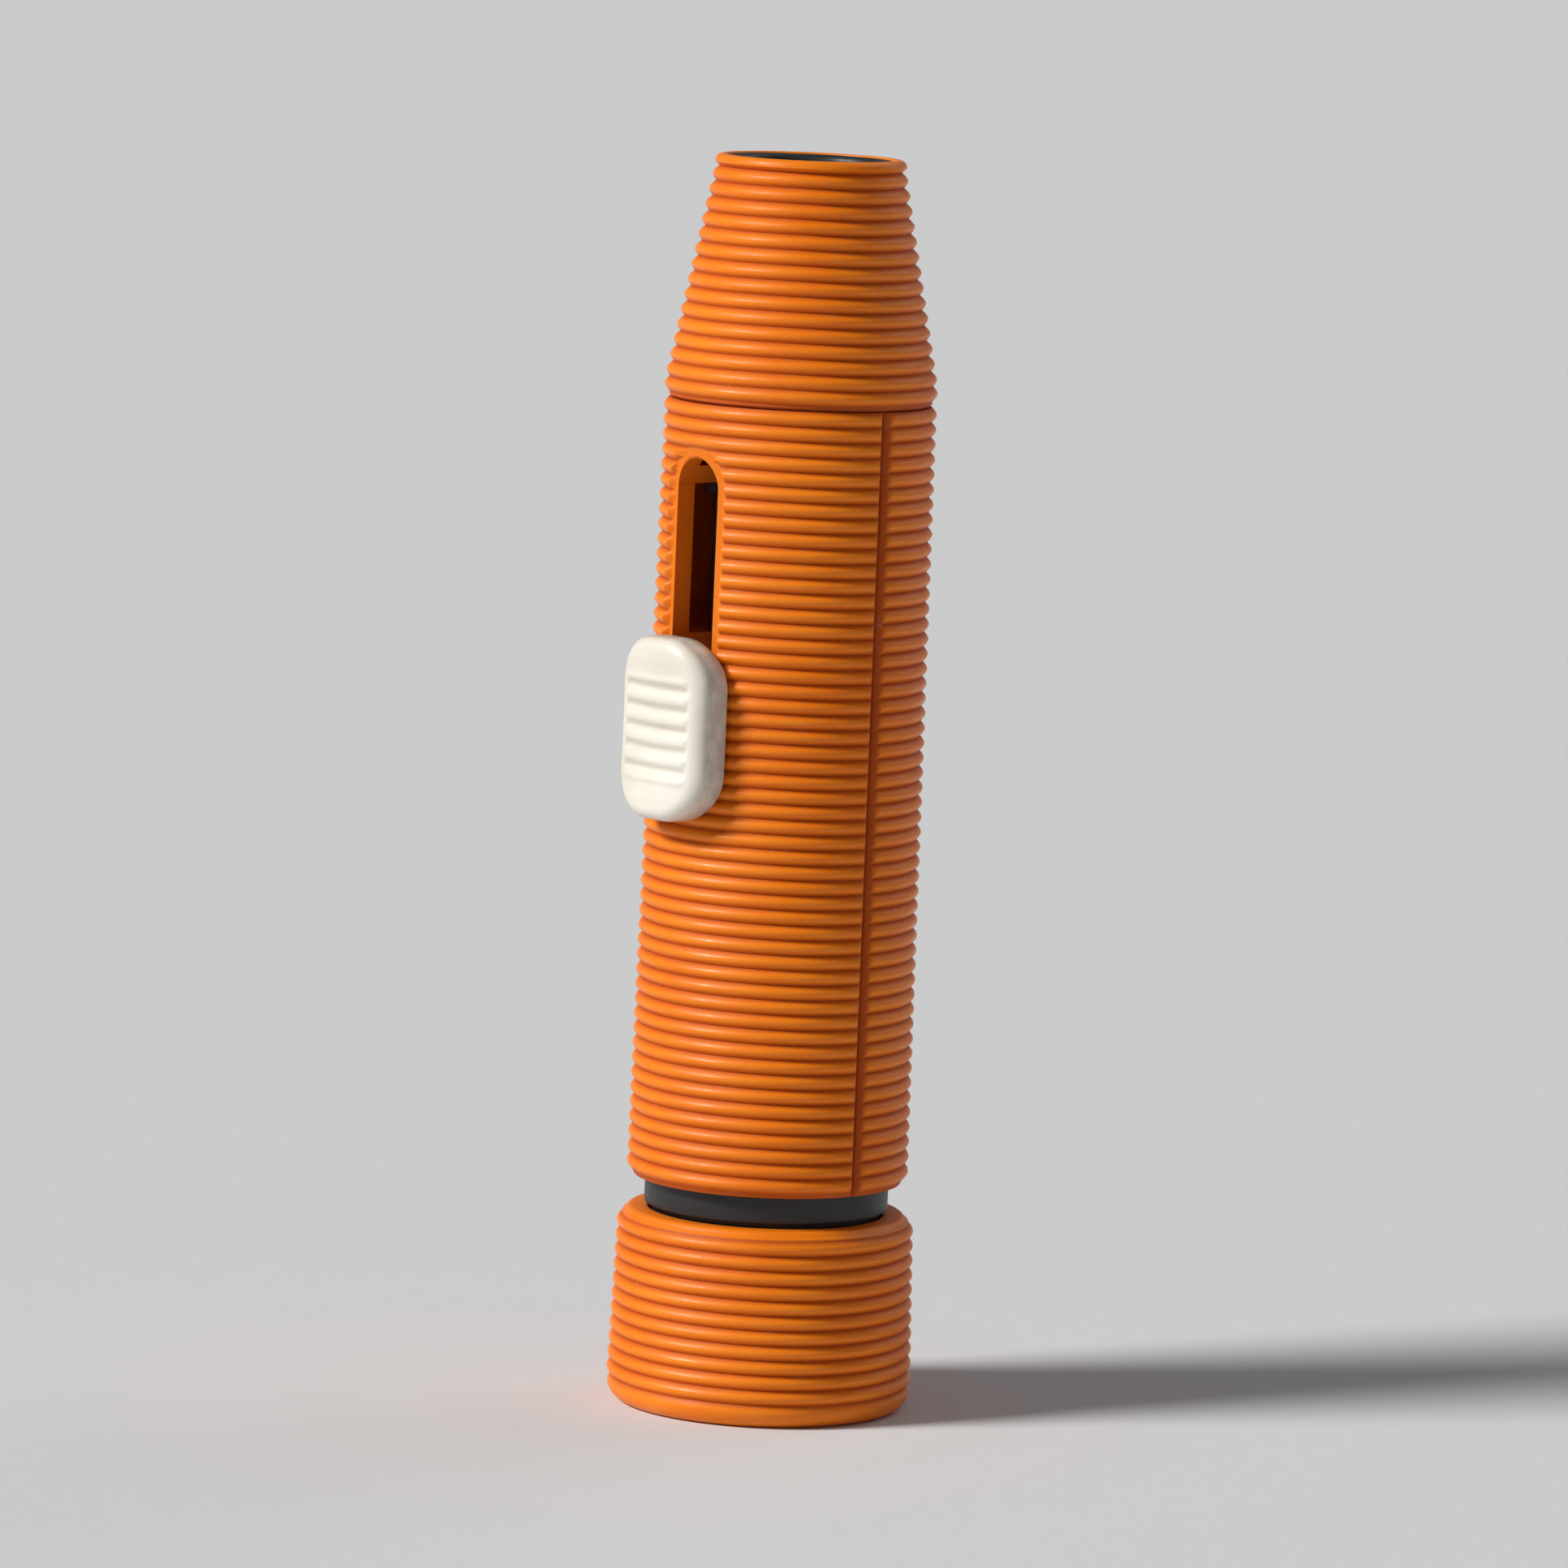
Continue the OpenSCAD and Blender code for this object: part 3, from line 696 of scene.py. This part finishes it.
def soft_disc(name, low, high, radius, face, lumps, nap=0.0, count=0, dish=0.0, seed=1):
    """A round pad with soft edges and a lumpy face. Its nap is on the lower face (-1) or the upper (1)."""
    thick = high - low
    soft = min(0.35, thick * 0.45)
    radii = list(np.linspace(0.2, radius - soft, 30))
    lower = [(r, low + (dish * (1 - (r / radius) ** 2) if face < 0 else 0)) for r in radii]
    upper = [(r, high - (dish * (1 - (r / radius) ** 2) if face > 0 else 0)) for r in radii][::-1]
    edge_r = radius - soft
    side = arc(edge_r, low + soft, soft, -80, 0, 5) + arc(edge_r, high - soft, soft, 0, 80, 5)
    profile = [(0, lower[0][1])] + lower + side + upper + [(0, upper[-1][1])]
    piece = revolve(name, profile, 144, sharp_deg=80)
    middle = (low + high) / 2
    for v in piece.data.vertices:
        x, y, z = v.co / MM
        rough = solid_noise.fractal(Vector((x, y, z + 7 * seed)) * 1.7, 0.6, 2.1, 4)
        dip = lumps * (0.5 + 0.5 * max(-1, min(1, rough)))
        far = math.hypot(x, y)
        if far > 1e-4:
            inward = max(0.0, min(1.0, (far - radius + soft) / soft)) * dip
            v.co.x -= x / far * inward * MM
            v.co.y -= y / far * inward * MM
        v.co.z += (dip if z < middle else -dip) * 0.7 * MM
    piece.data.update()
    if not count:
        return piece
    rng = random.Random(seed)
    spots = disc_spots(edge_r, count)
    far = np.hypot(spots[:, 0], spots[:, 1]) / radius
    level = (low if face < 0 else high) - face * (dish * (1 - far ** 2) + lumps * 0.5)
    hairs = fibres(np.column_stack([spots, level]), face, rng, nap)
    return piece, merge(name + "_nap", hairs, "along", weld=False)


def tip_pad():
    """The hollow-faced cleaning pad and its nap."""
    low, high = span("tip_pad")
    return soft_disc("pad_face", low.z, high.z, high.x, -1, 0.05, 0.10, 2600, dish=0.22, seed=3)


def felt():
    """The cap's felt and its nap."""
    low, high = span("felt_pad")
    return soft_disc("felt_face", low.z, high.z, high.x, 1, 0.09, 0.15, 3200, seed=5)


def foam_disc(name, node, seed):
    """A foam disc in its node's place."""
    low, high = span(node)
    return soft_disc(name, low.z, high.z, high.x, 1, 0.05, seed=seed)


# ---- Shader helpers ----

def start_material(name, fixed):
    """A material whose constant values sit on the shader's own sockets."""
    material = bpy.data.materials.new(name)
    material.use_nodes = True
    shader = material.node_tree.nodes["Principled BSDF"]
    for key, value in fixed.items():
        shader.inputs[key].default_value = value
    return material, material.node_tree, shader


def add_node(tree, kind, sockets=None, **settings):
    """A node with its settings, whose sockets are given values or links."""
    node = tree.nodes.new(kind)
    for key, value in settings.items():
        setattr(node, key, value)
    for key, value in (sockets or {}).items():
        if isinstance(value, bpy.types.NodeSocket):
            tree.links.new(value, node.inputs[key])
        else:
            node.inputs[key].default_value = value
    return node


def object_point(tree, stretch=(1, 1, 1)):
    """The piece's own coordinates, in metres, times a stretch along each axis."""
    point = add_node(tree, "ShaderNodeTexCoord").outputs["Object"]
    return add_node(tree, "ShaderNodeMapping", {"Vector": point, "Scale": stretch}).outputs["Vector"]


def noise(tree, point, scale, detail=3.0, rough=0.55):
    """Noise between 0 and 1. A scale of 1000 gives features about 1 mm across."""
    sockets = {"Vector": point, "Scale": scale, "Detail": detail, "Roughness": rough}
    return add_node(tree, "ShaderNodeTexNoise", sockets).outputs[0]


def spread(tree, value, low, high, to_low=0.0, to_high=1.0):
    """Stretches a value's range from low..high, and holds it there."""
    sockets = {"Value": value, "From Min": low, "From Max": high, "To Min": to_low, "To Max": to_high}
    return add_node(tree, "ShaderNodeMapRange", sockets).outputs["Result"]


def math_node(tree, operation, a, b):
    """The result of one operation on two values."""
    return add_node(tree, "ShaderNodeMath", {0: a, 1: b}, operation=operation).outputs[0]


def mix_colour(tree, share, a, b):
    """Colour a where the share is 0 and b where it is 1."""
    sockets = {0: share, 6: a, 7: b}
    return add_node(tree, "ShaderNodeMix", sockets, data_type="RGBA").outputs[2]


def bump(tree, height, strength, distance, normal=None):
    """A normal bent by a height, for a relief of that distance in millimetres."""
    sockets = {"Height": height, "Strength": strength, "Distance": distance * MM}
    if normal is not None:
        sockets["Normal"] = normal
    return add_node(tree, "ShaderNodeBump", sockets).outputs["Normal"]


def attribute(tree, name):
    """A value stored on the points of the mesh."""
    return add_node(tree, "ShaderNodeAttribute", attribute_name=name).outputs["Fac"]


def rgb(r, g, b):
    """An opaque colour."""
    return (r, g, b, 1.0)


# ---- Materials ----

def orange_plastic():
    """Moulded orange plastic: painted shade, darker and redder, in the grooves, hollows and seams; dusty in
    the grooves, paler and smoother where it is rubbed.
    """
    material, tree, shader = start_material("orange_plastic", {
        "IOR": 1.5, "Specular IOR Level": 0.28, "Subsurface Weight": 0.12, "Subsurface Scale": 0.0012,
        "Subsurface Radius": (1.0, 0.30, 0.06)})
    point = object_point(tree)
    cloud = noise(tree, point, 90, 4)
    grain = noise(tree, point, 2600, 3, 0.6)
    groove = attribute(tree, "groove")
    body = mix_colour(tree, spread(tree, cloud, 0.35, 0.65), rgb(0.84, 0.190, 0.004), rgb(0.92, 0.232, 0.007))
    crest = spread(tree, groove, 0.30, 0.05)
    rubbed = math_node(tree, "MULTIPLY", crest, spread(tree, noise(tree, point, 210, 4), 0.50, 0.66))
    body = mix_colour(tree, math_node(tree, "MULTIPLY", rubbed, 0.30), body, rgb(0.95, 0.295, 0.022))
    # painted shade: by its groove value, the orange turns dark red-brown in rib valleys, joints, seams and
    # hollows
    deep = spread(tree, groove, 0.25, 0.95)
    body = mix_colour(tree, math_node(tree, "MULTIPLY", deep, 0.78), body, rgb(0.42, 0.052, 0.001))
    patches = spread(tree, noise(tree, point, 420, 4, 0.7), 0.56, 0.72)
    specks = spread(tree, noise(tree, point, 5200, 2), 0.5, 0.62)
    dust = math_node(tree, "MULTIPLY", patches, specks)
    dust = math_node(tree, "MULTIPLY", dust, spread(tree, groove, 0.45, 0.9))
    body = mix_colour(tree, math_node(tree, "MULTIPLY", dust, 0.22), body, rgb(0.62, 0.46, 0.30))
    tree.links.new(body, shader.inputs["Base Color"])
    rough = spread(tree, grain, 0.3, 0.7, 0.36, 0.50)
    rough = math_node(tree, "SUBTRACT", rough, math_node(tree, "MULTIPLY", rubbed, 0.14))
    rough = math_node(tree, "ADD", rough, math_node(tree, "MULTIPLY", deep, 0.2))
    tree.links.new(rough, shader.inputs["Roughness"])
    fine = bump(tree, grain, 0.35, 0.02)
    tree.links.new(bump(tree, cloud, 0.2, 0.05, fine), shader.inputs["Normal"])
    return material


def ivory_plastic():
    """Ivory plastic of the button: faint yellowing, darker brown-grey where it lies below its face, fine
    scratches.
    """
    material, tree, shader = start_material("ivory_plastic", {
        "IOR": 1.5, "Subsurface Weight": 0.2, "Subsurface Scale": 0.0015,
        "Subsurface Radius": (1.0, 0.8, 0.55)})
    point = object_point(tree)
    cloud = noise(tree, point, 160, 4)
    scratch = noise(tree, object_point(tree, (4000, 600, 250)), 1.0, 2)
    groove = attribute(tree, "groove")
    body = mix_colour(tree, spread(tree, cloud, 0.35, 0.65), rgb(0.74, 0.69, 0.58), rgb(0.83, 0.79, 0.70))
    # darker brown-grey where the surface lies below the face: its rounded edge, its sides and the deepest
    # grip valleys
    below_face_darkening = spread(tree, noise(tree, point, 900, 4), 0.35, 0.6, 0.35, 1.0)
    below_face_darkening = math_node(tree, "MULTIPLY", groove, below_face_darkening)
    body = mix_colour(tree, math_node(tree, "MULTIPLY", below_face_darkening, 0.5), body, rgb(0.33, 0.27, 0.20))
    tree.links.new(body, shader.inputs["Base Color"])
    tree.links.new(spread(tree, scratch, 0.35, 0.7, 0.30, 0.46), shader.inputs["Roughness"])
    fine = bump(tree, noise(tree, point, 3800, 2), 0.2, 0.012)
    tree.links.new(bump(tree, scratch, 0.12, 0.01, fine), shader.inputs["Normal"])
    return material


def dark_plastic(name, tone, rough_low, rough_high):
    """Dark engineering plastic with a fine grain and rubbed, greyer patches."""
    material, tree, shader = start_material(name, {"IOR": 1.49})
    point = object_point(tree)
    patch = spread(tree, noise(tree, point, 260, 4), 0.45, 0.7)
    grain = noise(tree, point, 7000, 3)
    body = mix_colour(tree, patch, rgb(tone, tone, tone * 1.04), rgb(tone * 1.9, tone * 1.85, tone * 1.8))
    tree.links.new(body, shader.inputs["Base Color"])
    tree.links.new(spread(tree, grain, 0.3, 0.7, rough_low, rough_high), shader.inputs["Roughness"])
    tree.links.new(bump(tree, grain, 0.12, 0.01), shader.inputs["Normal"])
    return material


def rubber():
    """Matte black rubber with a chalky bloom."""
    material, tree, shader = start_material("black_rubber", {"IOR": 1.52, "Specular IOR Level": 0.35})
    point = object_point(tree)
    bloom = spread(tree, noise(tree, point, 700, 5, 0.7), 0.48, 0.75)
    body = mix_colour(tree, bloom, rgb(0.018, 0.018, 0.018), rgb(0.055, 0.053, 0.05))
    tree.links.new(body, shader.inputs["Base Color"])
    tree.links.new(spread(tree, bloom, 0, 1, 0.62, 0.85), shader.inputs["Roughness"])
    tree.links.new(bump(tree, noise(tree, point, 4500, 2), 0.3, 0.015), shader.inputs["Normal"])
    return material


def metal(name, colour, stretch, rough_low, rough_high):
    """Worked metal with lines along its drawing direction and a few dull spots."""
    material, tree, shader = start_material(name, {"Metallic": 1.0})
    point = object_point(tree)
    lines = noise(tree, object_point(tree, stretch), 1.0, 3)
    dull = spread(tree, noise(tree, point, 600, 4), 0.5, 0.75)
    darker = tuple(c * 0.62 for c in colour[:3]) + (1.0,)
    tree.links.new(mix_colour(tree, dull, colour, darker), shader.inputs["Base Color"])
    rough = spread(tree, lines, 0.3, 0.7, rough_low, rough_high)
    rough = math_node(tree, "ADD", rough, math_node(tree, "MULTIPLY", dull, 0.15))
    tree.links.new(rough, shader.inputs["Roughness"])
    tree.links.new(bump(tree, lines, 0.15, 0.01), shader.inputs["Normal"])
    return material


def hair_material():
    """Soft dark hair, paler and warmer towards the tips, each hair a little different."""
    material, tree, shader = start_material("hair", {
        "IOR": 1.55, "Sheen Weight": 0.25, "Sheen Roughness": 0.4})
    along = attribute(tree, "along")
    each = noise(tree, object_point(tree, (2600, 2600, 60)), 1.0, 1)
    each_tone = spread(tree, each, 0.35, 0.65)
    dark = mix_colour(tree, each_tone, rgb(0.012, 0.009, 0.008), rgb(0.055, 0.036, 0.024))
    tip = mix_colour(tree, spread(tree, along, 0.55, 1.0, 0.0, 0.5), dark, rgb(0.13, 0.088, 0.055))
    tree.links.new(tip, shader.inputs["Base Color"])
    tree.links.new(spread(tree, each, 0.3, 0.7, 0.34, 0.52), shader.inputs["Roughness"])
    return material


def napped(name, tone, scale, sheen):
    """Suede or felt: tangled tone, soft sheen and paler fibre tips, with grey carbon smears."""
    material, tree, shader = start_material(name, {
        "Sheen Weight": sheen, "Sheen Roughness": 0.5, "Specular IOR Level": 0.2})
    point = object_point(tree)
    tangle = noise(tree, point, scale, 5, 0.75)
    smear = spread(tree, noise(tree, object_point(tree, (1, 1.6, 1)), 330, 4), 0.48, 0.68)
    deep, pale = rgb(tone * 0.5, tone * 0.5, tone * 0.5), rgb(tone * 1.7, tone * 1.66, tone * 1.6)
    body = mix_colour(tree, spread(tree, tangle, 0.3, 0.7), deep, pale)
    smeared = math_node(tree, "MULTIPLY", smear, 0.45)
    body = mix_colour(tree, smeared, body, rgb(tone * 3.2, tone * 3.2, tone * 3.3))
    tipped = math_node(tree, "MULTIPLY", attribute(tree, "along"), 0.35)
    body = mix_colour(tree, tipped, body, rgb(tone * 4, tone * 4, tone * 4))
    tree.links.new(body, shader.inputs["Base Color"])
    tree.links.new(spread(tree, smear, 0, 1, 0.95, 0.72), shader.inputs["Roughness"])
    tree.links.new(bump(tree, tangle, 0.7, 0.04), shader.inputs["Normal"])
    return material


def foam_material():
    """Open-cell foam: dark cells in a grey net, the dark being painted shade in the pores."""
    material, tree, shader = start_material("foam", {"Specular IOR Level": 0.2})
    point = object_point(tree)
    sockets = {"Vector": point, "Scale": 3600.0}
    cells = add_node(tree, "ShaderNodeTexVoronoi", sockets, feature="F1").outputs["Distance"]
    # painted shade: dark at each cell's middle, grey on the net between cells
    body = mix_colour(tree, spread(tree, cells, 0.15, 0.55), rgb(0.03, 0.03, 0.032), rgb(0.16, 0.16, 0.17))
    tree.links.new(body, shader.inputs["Base Color"])
    tree.links.new(spread(tree, cells, 0.1, 0.6, 0.95, 0.8), shader.inputs["Roughness"])
    tree.links.new(bump(tree, cells, 0.8, 0.06), shader.inputs["Normal"])
    return material


def floor_material():
    """Pale paper: almost white, with a very faint mottle."""
    material, tree, shader = start_material("pale_floor", {"Specular IOR Level": 0.15})
    mottle = noise(tree, object_point(tree), 700, 3)
    patchy = spread(tree, mottle, 0.3, 0.7)
    body = mix_colour(tree, patchy, rgb(0.692, 0.697, 0.702), rgb(0.702, 0.707, 0.712))
    tree.links.new(body, shader.inputs["Base Color"])
    tree.links.new(spread(tree, mottle, 0.3, 0.7, 0.85, 0.95), shader.inputs["Roughness"])
    return material


# ---- Putting it together ----

def paint(piece, material):
    """Gives a piece one material in place of what it has."""
    piece.data.materials.clear()
    piece.data.materials.append(material)


def place(piece, body, slot, material, *nodes):
    """Paints a piece, puts it on its body and lets it stand for its CAD nodes."""
    paint(piece, material)
    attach(piece, body)
    if nodes:
        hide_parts(*nodes)
    return piece


def build_pen():
    """Makes every piece, paints it and puts it on its body."""
    orange = orange_plastic()
    black = dark_plastic("black_plastic", 0.014, 0.38, 0.55)
    grey = dark_plastic("grey_plastic", 0.05, 0.30, 0.45)
    gum = rubber()
    suede = napped("carbon_suede", 0.026, 2800, 0.35)
    pressed = napped("carbon_felt", 0.042, 2200, 0.45)
    foam = foam_material()
    nickel = metal("nickel", rgb(0.66, 0.63, 0.58), (60, 60, 2500), 0.16, 0.30)
    steel = metal("spring_steel", rgb(0.56, 0.56, 0.55), (2500, 2500, 60), 0.2, 0.36)

    place(barrel_front(), "barrel", "orange_plastic", orange, "front_shell")
    place(barrel_back(), "barrel", "orange_plastic", orange, "back_shell")
    place(shroud(), "barrel", "orange_plastic", orange, "brush_shroud")
    place(cap_outer(), "cap", "orange_plastic", orange, "cap_shell")
    place(button(), "brush", "ivory_plastic", ivory_plastic(), "thumb_button")
    place(bristles(), "brush", "bristles", hair_material(), "brush_tuft")
    place(ferrule(), "brush", "nickel", nickel, "brush_ferrule")

    pad, pad_nap = tip_pad()
    place(pad, "barrel", "carbon_suede", suede, "tip_pad")
    place(pad_nap, "barrel", "carbon_suede", suede)
    felt_face, felt_nap = felt()
    place(felt_face, "cap", "carbon_felt", pressed, "felt_pad")
    place(felt_nap, "cap", "carbon_felt", pressed)
    tip_foam = place(foam_disc("foam_behind_pad", "tip_foam", 7), "barrel", "foam", foam, "tip_foam")
    felt_foam = place(foam_disc("foam_under_felt", "felt_foam", 8), "cap", "foam", foam, "felt_foam")

    place(nose(), "barrel", "black_plastic", black, "nose")
    place(holder(), "barrel", "black_plastic", black, "tip_holder")
    place(bush(), "barrel", "black_plastic", black, "mouth_bush")
    place(neck(), "barrel", "black_rubber", gum, "tip_neck")
    place(grip_ring(), "cap_ring", "black_rubber", gum, "cap_ring")
    place(liner(), "cap", "grey_plastic", grey, "cap_liner")

    for node, material in (
        ("tip_stem", black), ("track_tube", grey), ("brush_carriage", grey),
        ("ferrule_plug", grey), ("detent_spring", steel),
    ):
        paint(frame["nodes"][node], material)


def build_floor():
    """A wide round floor at the height that the pen stands on."""
    bpy.ops.mesh.primitive_circle_add(vertices=96, radius=6, fill_type="TRIFAN")
    floor = bpy.context.object
    floor.name = "floor"
    paint(floor, floor_material())


def aim(thing, target):
    """Turns a lamp or a camera towards a point."""
    thing.rotation_euler = (Vector(target) - thing.location).to_track_quat("-Z", "Y").to_euler()


def around(azimuth, elevation, distance, centre):
    """The point at that azimuth and elevation from centre. Azimuth 0 is on -Y and 90 on +X."""
    a, e = math.radians(azimuth), math.radians(elevation)
    way = Vector((math.sin(a) * math.cos(e), -math.cos(a) * math.cos(e), math.sin(e)))
    return Vector(centre) + way * distance


def sun(name, azimuth, elevation, strength, softness, colour):
    """A distant lamp, so that the floor is evenly lit. Softness is its width in degrees."""
    data = bpy.data.lights.new(name, "SUN")
    data.energy = strength
    data.angle = math.radians(softness)
    data.color = colour
    lamp = bpy.data.objects.new(name, data)
    bpy.context.scene.collection.objects.link(lamp)
    lamp.location = around(azimuth, elevation, 2, (0, 0, 0))
    aim(lamp, (0, 0, 0))


def build_lights():
    """A soft key lamp, a faint one from behind, and a sky as bright as the floor at the horizon."""
    sun("key", FACING - 67, 38, 3.4, 16, (1.0, 0.985, 0.965))
    sun("rim", FACING + 130, 35, 0.35, 40, (0.95, 0.97, 1.0))
    world = bpy.data.worlds.new("studio")
    world.use_nodes = True
    tree = world.node_tree
    way = add_node(tree, "ShaderNodeTexCoord").outputs["Generated"]
    up = add_node(tree, "ShaderNodeSeparateXYZ", {0: way})
    height = spread(tree, up.outputs["Z"], 0.04, 0.20)
    sky = mix_colour(tree, height, rgb(0.600, 0.602, 0.603), rgb(0.13, 0.134, 0.142))
    tree.links.new(sky, tree.nodes["Background"].inputs["Color"])
    bpy.context.scene.world = world


def build_camera(centre):
    """A long lens, as far away as makes the pen's height fill its share of the picture."""
    data = bpy.data.cameras.new("camera")
    data.lens = LENS
    data.sensor_width = SENSOR
    height = (cad_box[1] - cad_box[0]).z
    distance = height / FILLS / (SENSOR / LENS)
    camera = bpy.data.objects.new("camera", data)
    bpy.context.scene.collection.objects.link(camera)
    camera.location = around(FACING, LIFT, distance, centre)
    aim(camera, centre)
    camera.rotation_euler.rotate_axis("Z", math.radians(ROLL))
    data.clip_start = 0.02
    bpy.context.scene.camera = camera


middle = (cad_box[0] + cad_box[1]) / 2
build_camera((0, 0, middle.z))
build_pen()
build_floor()
build_lights()
bpy.context.scene.view_settings.view_transform = "Standard"
